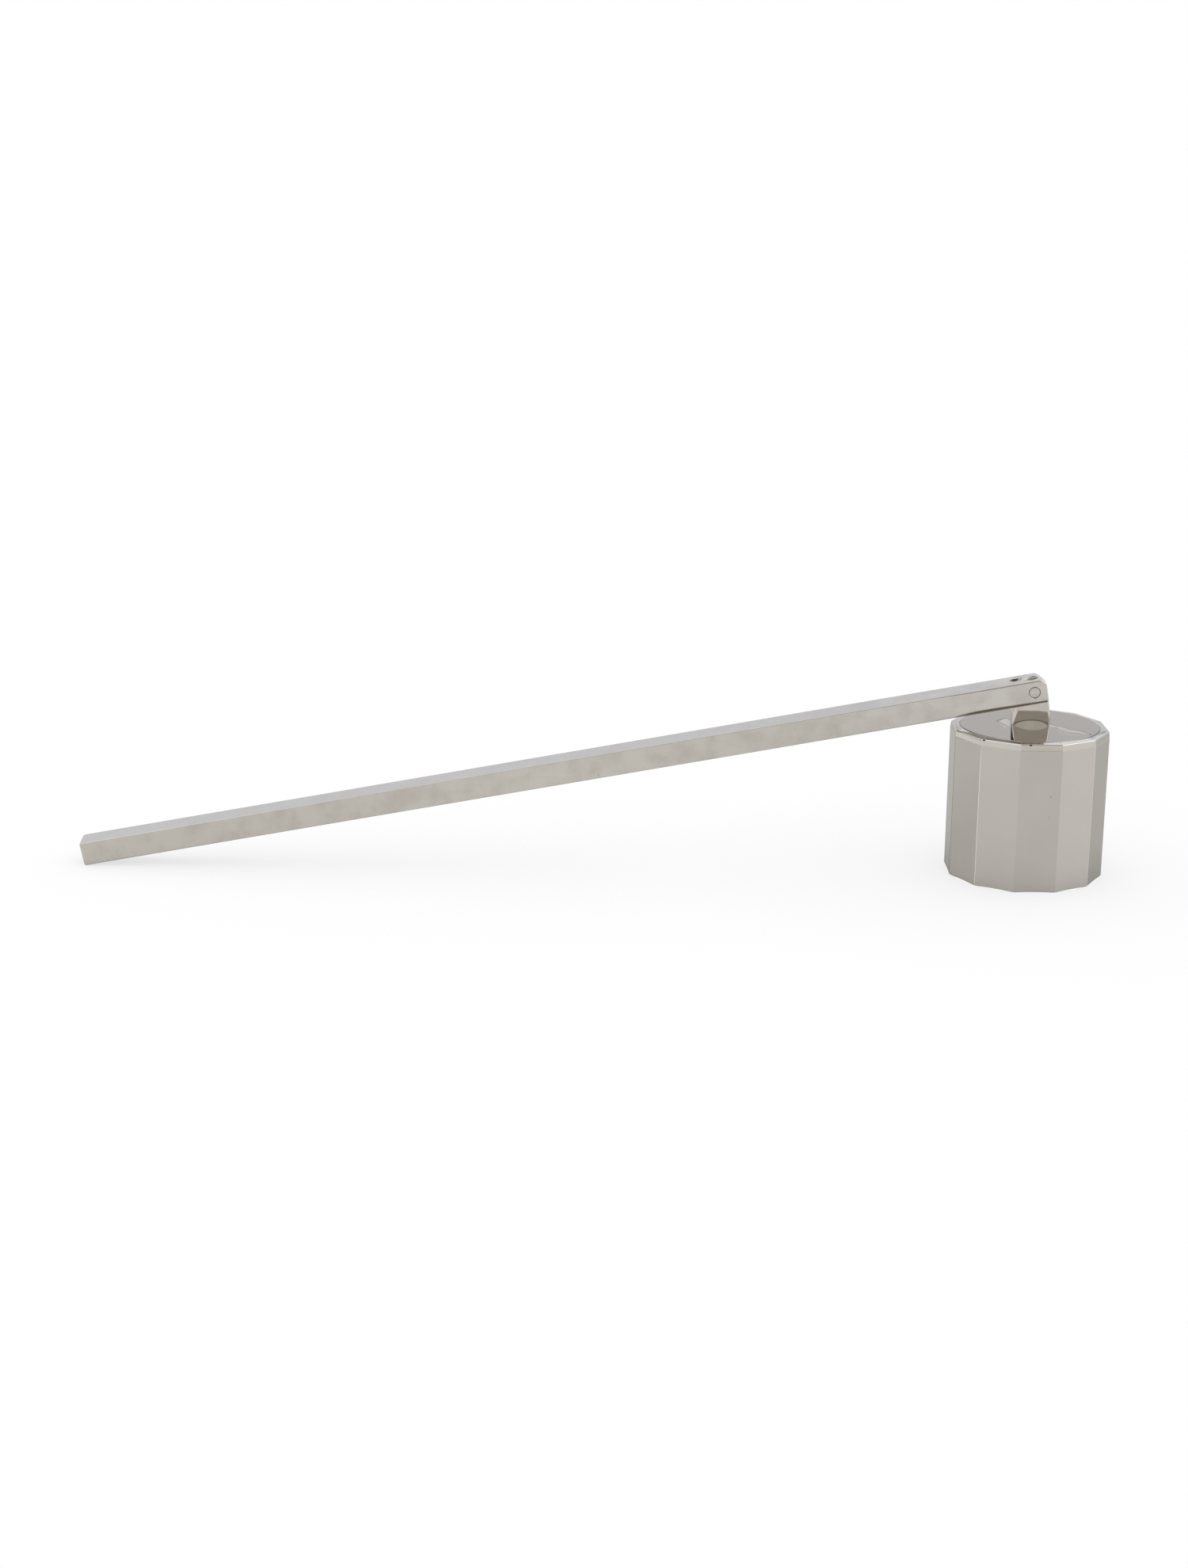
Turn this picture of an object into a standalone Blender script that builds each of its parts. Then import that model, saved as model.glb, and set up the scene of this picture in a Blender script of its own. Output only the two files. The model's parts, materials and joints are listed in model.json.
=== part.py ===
"""A candle snuffer: a twelve-sided bell on a hinge at the end of a long rectangular bar.

Units are metres and +Z is up. The bell stands mouth down on the plane z = 0 and the bar's free end
touches the same plane. The origin is the centre of the footprint. The bar points towards -X, and the
hinge axis runs along Y.
"""

import math

import bmesh
import bpy
from mathutils import Vector

MM = 0.001

# Bell: a twelve-sided cup with flats facing the handle
SIDES = 12
ACROSS_FLATS = 32.0 * MM
BELL_HEIGHT = 31.5 * MM  # to the outer edge of the shoulder
BAND_HEIGHT = 1.35 * MM  # the steep facet that runs round the top
BAND_INSET = 0.16 * MM
SHOULDER_WIDTH = 2.2 * MM  # gently rising facet inside the band, cut short by the disc's seat
SHOULDER_RISE = 0.36 * MM
RIM_CHAMFER = 0.25 * MM
CAVITY_RADIUS = 14.2 * MM
LEDGE_RADIUS = 13.2 * MM  # the lip the top disc rests on
LEDGE_HEIGHT = 1.5 * MM

# Top disc, let into the bell's crown
DISC_LIFT = 0.25 * MM  # its face above the shoulder's outer edge
DISC_RADIUS = 14.45 * MM
DISC_THICKNESS = 1.2 * MM
DISC_EDGE_BEVEL = 0.12 * MM
DISC_SEAT_CLEARANCE = 0.06 * MM

# Hinge
PIVOT_OFFSET = 0.1 * MM  # along X from the bell's axis
PIVOT_HEIGHT = 39.5 * MM
PIN_RADIUS = 1.15 * MM
PIN_RUNNING_CLEARANCE = 0.05 * MM
PIN_PRESSED_CLEARANCE = 0.02 * MM
PIN_END_RECESS = 0.02 * MM
LUG_THICKNESS = 2.0 * MM
LUG_HEAD_RADIUS = 3.1 * MM
LUG_SHOULDER_HALF_WIDTH = 4.0 * MM
LUG_SHOULDER_DROP = 5.2 * MM  # below the pivot, where the sides stop tapering
LUG_FOOT_HALF_WIDTH = 4.1 * MM
TENON_WIDTH = 5.0 * MM
TENON_CLEARANCE = 0.05 * MM
TENON_HEAD_WIDTH = 6.4 * MM
TENON_HEAD_DEPTH = 3.4 * MM
TENON_HEAD_HEIGHT = 0.7 * MM
WASHER_RADIUS = 5.5 * MM
WASHER_THICKNESS = 0.8 * MM

# Handle bar, in its own frame: pivot at the origin, free end at -X
BAR_WIDTH = 7.2 * MM
BAR_HEIGHT = 5.0 * MM
BAR_REACH = 205.0 * MM  # pivot to free end
BAR_OVERHANG = 2.71 * MM  # pivot to hinge end
BAR_EDGE_BEVEL = 0.25 * MM
HINGE_TOP_CORNER = 1.7 * MM
SMALL_CORNER = 0.35 * MM
SLOT_WIDTH = 2.2 * MM
SLOT_REACH_ABOVE = 4.3 * MM  # pivot to the slot's closed end, at the bar's top face
SLOT_REACH_BELOW = 5.4 * MM  # and at its underside, where the lug needs more room

CONTACT_GAP = 0.04 * MM  # between pieces that rest on each other
CUT_MARGIN = 1.0 * MM  # how far a cutter runs past the metal
FINE_SEGMENTS = 96
PIN_SEGMENTS = 32
ARC_STEP = math.radians(12)

# Worked out from the sizes above
FLAT_TO_CORNER = 1 / math.cos(math.pi / SIDES)
BELL_RADIUS = ACROSS_FLATS / 2 * FLAT_TO_CORNER
CROWN_HEIGHT = BELL_HEIGHT + SHOULDER_RISE
DISC_TOP = BELL_HEIGHT + DISC_LIFT
DISC_UNDERSIDE = DISC_TOP - DISC_THICKNESS
DISC_SEAT = DISC_UNDERSIDE - CONTACT_GAP
LEDGE_UNDERSIDE = DISC_SEAT - LEDGE_HEIGHT
WASHER_TOP = DISC_UNDERSIDE - CONTACT_GAP
WASHER_UNDERSIDE = WASHER_TOP - WASHER_THICKNESS
TENON_HEAD_TOP = WASHER_UNDERSIDE - CONTACT_GAP
REST_SLOPE = math.asin(PIVOT_HEIGHT / math.hypot(BAR_REACH, BAR_HEIGHT / 2)) - math.atan2(
    BAR_HEIGHT / 2, BAR_REACH
)
FREE_END_X = (
    PIVOT_OFFSET
    - BAR_REACH * math.cos(REST_SLOPE)
    - BAR_HEIGHT / 2 * math.sin(REST_SLOPE)
    + SMALL_CORNER * (math.cos(REST_SLOPE) + math.sin(REST_SLOPE) - 1)
)
BELL_X = -(FREE_END_X + ACROSS_FLATS / 2) / 2  # centres the footprint on the origin


def clear_scene():
    for item in list(bpy.data.objects):
        bpy.data.objects.remove(item, do_unlink=True)


def make_metal(name, colour, roughness):
    material = bpy.data.materials.new(name)
    material.use_nodes = True
    shader = material.node_tree.nodes["Principled BSDF"]
    shader.inputs["Base Color"].default_value = (*colour, 1.0)
    shader.inputs["Metallic"].default_value = 1.0
    shader.inputs["Roughness"].default_value = roughness
    return material


def make_object(name, mesh_data, material=None):
    """Links a finished bmesh as an object with outward normals and smooth round sides."""
    bmesh.ops.recalc_face_normals(mesh_data, faces=mesh_data.faces)
    mesh = bpy.data.meshes.new(name)
    mesh_data.to_mesh(mesh)
    mesh_data.free()
    mesh.shade_smooth()
    mesh.set_sharp_from_angle(angle=math.radians(25))
    thing = bpy.data.objects.new(name, mesh)
    bpy.context.scene.collection.objects.link(thing)
    if material:
        mesh.materials.append(material)
    return thing


def hide_cutter(cutter):
    cutter.hide_render = True
    cutter.display_type = "WIRE"
    return cutter


def cut(target, cutter):
    modifier = target.modifiers.new("cut_" + cutter.name, "BOOLEAN")
    modifier.operation = "DIFFERENCE"
    modifier.object = hide_cutter(cutter)


def add_bevel(target, width, segments):
    modifier = target.modifiers.new("soft_edges", "BEVEL")
    modifier.width = width
    modifier.segments = segments
    modifier.limit_method = "ANGLE"
    modifier.angle_limit = math.radians(50)


def stacked_rings(rings, sides, turn=0.0):
    """A closed solid from (radius, height) rings, listed from the bottom up."""
    shape = bmesh.new()
    loops = []
    for radius, height in rings:
        loop = []
        for index in range(sides):
            angle = turn + 2 * math.pi * index / sides
            place = (radius * math.cos(angle), radius * math.sin(angle), height)
            loop.append(shape.verts.new(place))
        loops.append(loop)
    for lower, upper in zip(loops, loops[1:]):
        for index in range(sides):
            after = (index + 1) % sides
            shape.faces.new((lower[index], lower[after], upper[after], upper[index]))
    shape.faces.new(reversed(loops[0]))
    shape.faces.new(loops[-1])
    return shape


def swept_outline(outline, thickness):
    """A closed solid from an outline of (x, z) points, centred on y = 0."""
    shape = bmesh.new()
    near = [shape.verts.new((x, -thickness / 2, z)) for x, z in outline]
    far = [shape.verts.new((x, thickness / 2, z)) for x, z in outline]
    shape.faces.new(near)
    shape.faces.new(reversed(far))
    for index in range(len(outline)):
        after = (index + 1) % len(outline)
        shape.faces.new((near[index], far[index], far[after], near[after]))
    return shape


def block(low, high):
    """A box between two opposite corners."""
    outline = [(low[0], low[2]), (high[0], low[2]), (high[0], high[2]), (low[0], high[2])]
    shape = swept_outline(outline, high[1] - low[1])
    middle = (low[1] + high[1]) / 2
    bmesh.ops.translate(shape, verts=shape.verts, vec=Vector((0, middle, 0)))
    return shape


def arc(centre, radius, start, end):
    """Points along a round corner in the xz plane, both ends included."""
    steps = max(2, math.ceil(abs(end - start) / ARC_STEP))
    points = []
    for index in range(steps + 1):
        angle = start + (end - start) * index / steps
        points.append((centre[0] + radius * math.cos(angle), centre[1] + radius * math.sin(angle)))
    return points


def rounded_rectangle(left, right, half_height, corners):
    """A rectangle about z = 0 whose corner radii run: low right, high right, high left, low left."""
    places = ((right, -1, 1), (right, 1, 1), (left, 1, -1), (left, -1, -1))
    outline = []
    for index, ((x, up, out), radius) in enumerate(zip(places, corners)):
        centre = (x - out * radius, up * (half_height - radius))
        start = math.radians(90 * index - 90)
        outline += arc(centre, radius, start, start + math.pi / 2)
    return outline


def cylinder_along_y(name, radius, length):
    shape = stacked_rings([(radius, -length / 2), (radius, length / 2)], PIN_SEGMENTS)
    for vertex in shape.verts:
        vertex.co = Vector((vertex.co.x, vertex.co.z, vertex.co.y))
    return make_object(name, shape)


def make_bell_body(material):
    corner = BELL_RADIUS
    band = (ACROSS_FLATS / 2 - BAND_INSET) * FLAT_TO_CORNER
    shoulder = band - SHOULDER_WIDTH * FLAT_TO_CORNER
    outer = stacked_rings(
        [
            (corner - RIM_CHAMFER, 0),
            (corner, RIM_CHAMFER),
            (corner, BELL_HEIGHT - BAND_HEIGHT),
            (band, BELL_HEIGHT),
            (shoulder, CROWN_HEIGHT),
        ],
        SIDES,
        turn=math.pi / SIDES,
    )
    bell = make_object("bell_body", outer, material)
    hollow = stacked_rings(
        [
            (CAVITY_RADIUS, -CUT_MARGIN),
            (CAVITY_RADIUS, LEDGE_UNDERSIDE),
            (LEDGE_RADIUS, LEDGE_UNDERSIDE),
            (LEDGE_RADIUS, DISC_SEAT),
            (DISC_RADIUS + DISC_SEAT_CLEARANCE, DISC_SEAT),
            (DISC_RADIUS + DISC_SEAT_CLEARANCE, CROWN_HEIGHT + CUT_MARGIN),
        ],
        FINE_SEGMENTS,
    )
    hollow_cutter = make_object("bell_hollow_cutter", hollow)
    for thing in (bell, hollow_cutter):
        thing.location.x = BELL_X
    cut(bell, hollow_cutter)
    return bell


def cut_tenon_slot(plate, low, high):
    """Cuts the opening that the lug's tenon passes through."""
    half_width = TENON_WIDTH / 2 + TENON_CLEARANCE
    half_depth = LUG_THICKNESS / 2 + TENON_CLEARANCE
    slot = block(
        (-half_width, -half_depth, low - CUT_MARGIN),
        (half_width, half_depth, high + CUT_MARGIN),
    )
    cutter = make_object(plate.name + "_slot_cutter", slot)
    cutter.location.x = BELL_X + PIVOT_OFFSET
    cut(plate, cutter)


def make_top_disc(material):
    shape = stacked_rings(
        [
            (DISC_RADIUS, DISC_UNDERSIDE),
            (DISC_RADIUS, DISC_TOP - DISC_EDGE_BEVEL),
            (DISC_RADIUS - DISC_EDGE_BEVEL, DISC_TOP),
        ],
        FINE_SEGMENTS,
    )
    disc = make_object("top_disc", shape, material)
    disc.location.x = BELL_X
    cut_tenon_slot(disc, DISC_UNDERSIDE, DISC_TOP)
    return disc


def make_lug_washer(material):
    shape = stacked_rings([(WASHER_RADIUS, WASHER_UNDERSIDE), (WASHER_RADIUS, WASHER_TOP)], FINE_SEGMENTS)
    washer = make_object("lug_washer", shape, material)
    washer.location.x = BELL_X + PIVOT_OFFSET
    cut_tenon_slot(washer, WASHER_UNDERSIDE, WASHER_TOP)
    return washer


def lug_outline():
    """The lug from the side, about the pivot: round head, tapered neck, foot and a tenon below it."""
    shoulder = -LUG_SHOULDER_DROP
    reach = math.hypot(LUG_SHOULDER_HALF_WIDTH, shoulder)
    tangent = math.atan2(shoulder, LUG_SHOULDER_HALF_WIDTH) + math.acos(LUG_HEAD_RADIUS / reach)
    head = arc((0, 0), LUG_HEAD_RADIUS, tangent, math.pi - tangent)
    foot = DISC_TOP + CONTACT_GAP - PIVOT_HEIGHT
    tenon_end = TENON_HEAD_TOP - TENON_HEAD_HEIGHT / 2 - PIVOT_HEIGHT
    left_side = [
        (-LUG_SHOULDER_HALF_WIDTH, shoulder),
        (-LUG_FOOT_HALF_WIDTH, foot),
        (-TENON_WIDTH / 2, foot),
        (-TENON_WIDTH / 2, tenon_end),
    ]
    right_side = [(-x, z) for x, z in reversed(left_side)]
    return head + left_side + right_side


def make_tenon_head():
    """The spread end of the tenon, hammered flat against the washer."""
    top = TENON_HEAD_TOP - PIVOT_HEIGHT
    half_width = TENON_HEAD_WIDTH / 2
    half_depth = TENON_HEAD_DEPTH / 2
    low = (-half_width, -half_depth, top - TENON_HEAD_HEIGHT)
    return hide_cutter(make_object("tenon_head", block(low, (half_width, half_depth, top))))


def make_hinge_lug(material):
    lug = make_object("hinge_lug", swept_outline(lug_outline(), LUG_THICKNESS), material)
    hole = cylinder_along_y(
        "lug_hole_cutter", PIN_RADIUS + PIN_RUNNING_CLEARANCE, LUG_THICKNESS + 2 * CUT_MARGIN
    )
    tenon_head = make_tenon_head()
    for thing in (lug, hole, tenon_head):
        thing.location = (BELL_X + PIVOT_OFFSET, 0, PIVOT_HEIGHT)
    cut(lug, hole)
    join = lug.modifiers.new("join_tenon_head", "BOOLEAN")
    join.operation = "UNION"
    join.object = tenon_head
    return lug


def make_hinge_empty():
    """The hinge axis: everything parented to it turns with the handle."""
    axis = bpy.data.objects.new("hinge_axis", None)
    bpy.context.scene.collection.objects.link(axis)
    axis.location = (BELL_X + PIVOT_OFFSET, 0, PIVOT_HEIGHT)
    axis.rotation_euler.y = -REST_SLOPE
    return axis


def make_bar_slot_cutter():
    """The slot between the bar's two cheeks. Its closed end slants to clear the lug."""
    mouth = BAR_OVERHANG + CUT_MARGIN
    over = BAR_HEIGHT / 2 + CUT_MARGIN
    slant = (SLOT_REACH_BELOW - SLOT_REACH_ABOVE) / BAR_HEIGHT * CUT_MARGIN
    outline = [
        (mouth, -over),
        (mouth, over),
        (slant - SLOT_REACH_ABOVE, over),
        (-slant - SLOT_REACH_BELOW, -over),
    ]
    return make_object("bar_slot_cutter", swept_outline(outline, SLOT_WIDTH))


def make_handle_bar(material, axis):
    outline = rounded_rectangle(
        -BAR_REACH,
        BAR_OVERHANG,
        BAR_HEIGHT / 2,
        (SMALL_CORNER, HINGE_TOP_CORNER, SMALL_CORNER, SMALL_CORNER),
    )
    bar = make_object("handle_bar", swept_outline(outline, BAR_WIDTH), material)
    add_bevel(bar, BAR_EDGE_BEVEL, 2)
    slot = make_bar_slot_cutter()
    hole = cylinder_along_y(
        "bar_hole_cutter", PIN_RADIUS + PIN_PRESSED_CLEARANCE, BAR_WIDTH + 2 * CUT_MARGIN
    )
    for thing in (bar, slot, hole):
        thing.parent = axis
    cut(bar, slot)
    cut(bar, hole)
    return bar


def make_pivot_pin(material, axis):
    pin = cylinder_along_y("pivot_pin", PIN_RADIUS, BAR_WIDTH - 2 * PIN_END_RECESS)
    pin.data.materials.append(material)
    pin.parent = axis
    return pin


def build():
    clear_scene()
    plated = make_metal("polished_nickel", (0.66, 0.64, 0.61), 0.12)
    brushed = make_metal("satin_nickel", (0.68, 0.66, 0.63), 0.22)
    steel = make_metal("plain_steel", (0.55, 0.54, 0.52), 0.3)
    axis = make_hinge_empty()
    make_bell_body(plated)
    make_top_disc(plated)
    make_lug_washer(steel)
    make_hinge_lug(plated)
    make_handle_bar(brushed, axis)
    make_pivot_pin(steel, axis)
    bpy.context.view_layer.update()


build()
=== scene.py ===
"""The looks of a polished metal candle snuffer: fine pieces around the CAD frame, metals and a studio."""

import json
import math

import bmesh
import bpy
from mathutils import Matrix, Vector


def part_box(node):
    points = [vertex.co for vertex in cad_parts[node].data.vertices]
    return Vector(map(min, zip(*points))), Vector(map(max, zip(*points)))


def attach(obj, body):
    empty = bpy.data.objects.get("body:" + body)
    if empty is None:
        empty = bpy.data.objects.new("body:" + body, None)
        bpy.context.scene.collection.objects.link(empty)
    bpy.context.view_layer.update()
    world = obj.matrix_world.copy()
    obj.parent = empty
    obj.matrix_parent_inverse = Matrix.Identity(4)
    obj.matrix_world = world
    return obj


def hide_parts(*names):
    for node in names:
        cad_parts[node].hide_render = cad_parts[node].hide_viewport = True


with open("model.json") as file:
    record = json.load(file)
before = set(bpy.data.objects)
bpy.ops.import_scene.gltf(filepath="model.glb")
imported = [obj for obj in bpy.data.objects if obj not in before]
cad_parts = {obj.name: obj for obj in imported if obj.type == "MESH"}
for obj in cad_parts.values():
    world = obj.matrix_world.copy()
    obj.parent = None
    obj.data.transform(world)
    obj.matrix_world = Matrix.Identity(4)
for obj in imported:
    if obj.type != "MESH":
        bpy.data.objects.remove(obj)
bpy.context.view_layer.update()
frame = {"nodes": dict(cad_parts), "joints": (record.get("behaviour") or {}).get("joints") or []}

MM = 0.001
SHARP_DEGREES = 35  # edges that turn by more than this are shaded sharp
LUG_SHARP_DEGREES = 60
PIN_SHARP_DEGREES = 50
SOFTENED_DEGREES = 50  # a CAD piece's edges that turn by more than this are rounded
SOFTENED_STEPS = 3
WELD_REACH = 0.01 * MM
ROUND_STEPS = 5  # along a small rounded edge

# Bell details
SIDES = 12
FACET_EDGE_RADIUS = 0.42 * MM
FACET_POINTS = 9  # along each facet
CORNER_POINTS = 9  # round each edge between facets
WALL_STEPS = 6
RIM_RADIUS = 0.3 * MM
BAND_HEIGHT = 1.35 * MM
BAND_INSET = 0.16 * MM
BAND_GROOVE = 0.035 * MM  # depth of the fine line under the band
SHOULDER_HEIGHT = 31.56 * MM
SHOULDER_EDGE_RADIUS = 0.27 * MM
SHOULDER_STEPS = 6
SHOULDER_RISE = 0.1 * MM
SEAT_EDGE = 0.1 * MM
SEAT_CLEARANCE = 0.055 * MM
SEAT_FLOOR_GAP = 0.02 * MM
CAVITY_RADIUS = 14.2 * MM
CAVITY_MARGIN = 0.01 * MM
WASHER_EDGE = 0.1 * MM
LEDGE_RADIUS = 13.2 * MM
LEDGE_HEIGHT = 1.5 * MM

# Disc details
DISC_EDGE = 0.11 * MM
DISC_SEGMENTS = 256
DISC_FACE_RINGS = 96
DISC_SHIFT = 0.04 * MM  # it sits a little towards the back of its seat
# The disc is drawn in where the lug is riveted through it: a valley runs past the lug to the front right.
# At places along X: where the fall starts and where it ends, along Y
VALLEY_PLACES = (-7.2 * MM, -4.0 * MM, 4.2 * MM, 5.6 * MM, 8.0 * MM, 12.9 * MM)
VALLEY_START = (3.0 * MM, 5.8 * MM, 0.7 * MM, -0.8 * MM, -3.9 * MM, -9.4 * MM)
VALLEY_BOTTOM = (3.0 * MM, -1.0 * MM, -1.4 * MM, -4.0 * MM, -6.4 * MM, -9.4 * MM)
VALLEY_FALL = 0.034
VALLEY_RISE = 0.034
VALLEY_REST = 0.5 * MM  # level ground between the fall and the rise
LEVEL_HALF_WIDTH = 4.9 * MM  # the lug and the strip in front of it stand on level metal
LEVEL_EDGE = 0.7 * MM
LEVEL_NARROWING = 1.5 * MM  # how much narrower the level strip gets on its way back to the lug
LEVEL_NARROWING_FROM = -2.0 * MM
LEVEL_NARROWING_TO = -1.2 * MM
DISH_SOFTNESS = 0.28 * MM
STRAIGHT_SHARE = 30  # this many softnesses up, the rounded turn no longer shows

# Bar details
BAR_HEIGHT = 5.0 * MM
# Edge roundings of the bar at distances from its hinge end: buffing has rounded them more near the hinge
BAR_EDGE_PLACES = (0.0, 6 * MM, 14 * MM, 26 * MM, 60 * MM, 200 * MM)
BAR_TOP_EDGES = (0.4 * MM, 0.4 * MM, 0.4 * MM, 0.16 * MM, 0.14 * MM, 0.2 * MM)
BAR_BOTTOM_EDGES = (0.75 * MM, 0.8 * MM, 0.95 * MM, 0.45 * MM, 0.2 * MM, 0.25 * MM)
BAR_EDGE_DEPTHS = (0.36, 0.36, 0.36, 0.6, 1.0, 1.0)  # the lower roundings' depth as a share of their height
BAR_END_FRONT = 0.4 * MM  # the free end's upright corners, seen from above
BAR_END_BACK = 1.0 * MM
BAR_SIDE_END = 0.35 * MM
BAR_END_SKEW = 1.0 * MM  # the free end is cut a little out of square: its back reaches further
BAR_SKEW_REACH = 4.0 * MM
HINGE_TOP_CORNER = 1.7 * MM
SMALL_CORNER = 0.4 * MM
BAR_OVERHANG = 2.71 * MM  # of the hinge end past the pivot
SLOT_WIDTH = 2.2 * MM
SLOT_REACH_ABOVE = 4.3 * MM
SLOT_REACH_BELOW = 5.4 * MM
SLOT_END_ROUNDING = 0.85 * MM
SLOT_END_STEPS = 8
BAR_STEPS = 60  # between the shaped ends
BAR_END_STEPS = 12  # along each end corner
BAR_EDGE_STEPS = 12  # round each long edge

# Hinge details
LUG_HALF_THICKNESS = 1.0 * MM
LUG_SHOULDER_DROP = 5.2 * MM
LUG_SHOULDER_HALF_WIDTH = 4.0 * MM
LUG_SINK = 0.4 * MM  # how far the lug goes down into the dished disc
LUG_ROUNDING_AT_FOOT = 0.45 * MM
LUG_ROUNDING_ABOVE = (1.1 * MM, 0.6 * MM)  # left and right
LUG_ROUNDING_REACH = 3.4 * MM  # how far above the foot the corners are fully rounded
LUG_CORNER_DEPTH = 0.45 * MM
LUG_CORNER_DEEPENING = 0.4 * MM
LUG_TOP_ROUNDING = 0.45 * MM
LUG_STEPS = 40
LUG_CORNER_STEPS = 9
LUG_LAST_LOOP = 0.99995  # share of the head's radius, so that the topmost loop keeps some width
PIN_GROOVE = 0.14 * MM
PIN_DOME = 0.05 * MM
PIN_EDGE = 0.07 * MM
PIN_RINGS = (0.02, 0.25, 0.5, 0.7, 0.85)  # on the domed end, as shares of its radius
PIN_SEGMENTS = 72
PIN_HOLE_CHAMFER = 0.05 * MM
CUT_MARGIN = 1.0 * MM

# Finish
LINE_SCALE = 1400.0
LINE_STAIN = 0.16
GRAIN_SCALE = 5200.0
STAIN_LEFT_ON_TOP = 0.45  # upward faces are wiped cleaner
PIT_CELLS = 420.0
PIT_STRENGTH = 0.6
PIT_DENT = 0.03 * MM
PIT_COLOUR = (0.2, 0.18, 0.16)
# Two painted dark reflections: small near-black spots on the upper edge of the band, about the bell's axis
DARK_REFLECTION_SPOTS = ((-11.2 * MM, -11.82 * MM), (-2.3 * MM, -15.84 * MM))
SPOT_RADIUS = 0.36 * MM
SPOT_FLATNESS = 1.8  # how many times wider than tall
SPOT_COLOUR = (0.03, 0.028, 0.025)
# A mirror seen in a mirror in a mirror gets a painted reflection instead: its base colour glows at an even
# dim tone, where the renderer would stop at black
MIRROR_DEPTH = 2.5
DEEP_REFLECTION_GLOW = 0.5
NICKEL = (0.605, 0.583, 0.556)
NICKEL_STAIN = (0.56, 0.527, 0.485)
BELL_STAIN = (0.585, 0.562, 0.532)
# Painted light: the bar's nickel is lighter than the bell's, so that its front mirrors the table brighter
LIGHTENED_BAR_NICKEL = (0.64, 0.617, 0.584)
DISC_MIRROR = (0.408, 0.373, 0.327)
WASHER_STEEL = (0.42, 0.41, 0.40)
INSIDE_STEEL = (0.46, 0.445, 0.42)
# Which way polishing lines run: an axis with a small scale is the one they follow
ALL_WAYS = (1, 1, 1)
UPRIGHT = (1, 1, 0.02)
LUG_LINES = (1, 1, 0.1)
ALONG_BAR = (0.04, 1, 1)

# Studio
FLOOR_SIZE = 6.0
FLOOR_DROP = 0.05 * MM
SHADOW_REACH = 60 * MM
SHADOW_TONE = 0.72  # at the foot of a piece
SHADOW_SAMPLES = 12
TENT_LEVEL = 0.97
WHITE = (1, 1, 1, 1)
BLACK = (0, 0, 0, 1)
# The camera's own lit opening, which the lug and the disc send back to it: turn and height in degrees
OPENING_CENTRE = (10.05, 13.86)
OPENING_HALF = (0.56, 0.155)
OPENING_EDGE = (0.9, 1.0)  # where it fades, as squared shares of its half size
OPENING_RIM = (1.15, 1.5)  # the dark rim round its lower half fades here
OPENING_RIM_FADE = 0.05
OPENING_COLOUR = (0.97, 0.98, 0.92, 1)
OPENING_RIM_COLOUR = (0.24, 0.22, 0.19, 1)
# Painted light and shade on the table, as the metal sees it, by direction from the bell in degrees (front 0,
# right positive).
# A window is a centre, a half width and a soft edge in degrees; a span is in metres from the bell's axis.
ALL_ROUND = (-180, 180)
FLOOR_TINT = (1.0, 0.985, 0.95)
# A painted pool of light on the table to the left of the bell
LEFT_LIGHT_POOL_WINDOW = (-80.0, 5.0, 12.0)
LEFT_LIGHT_POOL_FADE = (0.115, 0.135)
LEFT_LIGHT_POOL_COLOUR = (1.45, 1.42, 1.33, 1)
# A painted lighter patch on the table in front of the bell; further out the table is painted lighter still
FRONT_LIGHT_PATCH_WINDOW = (11.0, 5.0, 6.0)
FRONT_LIGHT_PATCH_START = (0.136, 0.15)
FRONT_LIGHT_PATCH_COLOUR = (0.79, 0.79, 0.785, 1)
FAR_START = (0.17, 0.30)
FAR_COLOUR = (0.91, 0.89, 0.85, 1)
FAR_FRONT_WINDOW = (11.0, 9.0, 8.0)
FAR_FRONT_COLOUR = (0.77, 0.745, 0.70, 1)
FLOOR_LIGHT_TONES = (
    (-180, 0.54),
    (-167, 0.54),
    (-158, 0.22),
    (-130, 0.22),
    (-119, 0.69),
    (-105, 0.70),
    (-60, 0.76),
    (-40, 0.76),
    (-16, 0.69),
    (-4, 0.78),
    (8, 0.71),
    (20, 0.70),
    (60, 0.80),
    (86, 0.82),
    (94, 1.15),
    (106, 1.15),
    (116, 0.59),
    (140, 0.57),
    (165, 0.57),
    (180, 0.54),
)
# What the metal sees of the tent, by height in degrees: grey panel, dark seam, bright panel, roof
TENT_HEIGHTS = (-10, 90)
WALL_TINT = (0.99, 1.0, 1.04)
WALL_TONES = (
    (-10, 0.76),
    (-3, 0.76),
    (-1, 0.95),
    (1, 0.95),
    (4, 0.90),
    (8, 0.76),
    (15.35, 0.76),
    (15.5, 0.30),
    (16.15, 0.30),
    (16.3, 1.04),
    (32, 0.94),
    (60, 0.90),
    (90, 0.88),
)
# The same towards the camera, where the room behind is darker
FRONT_WINDOW = (5.0, 22.0, 12.0)
FRONT_TINT = (1.0, 0.95, 0.87)
FRONT_TONES = (
    (-10, 0.93),
    (3, 0.93),
    (7, 0.67),
    (18, 0.67),
    (24, 0.60),
    (34, 0.36),
    (66, 0.36),
    (76, 0.62),
    (86, 0.88),
    (90, 0.88),
)
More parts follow.
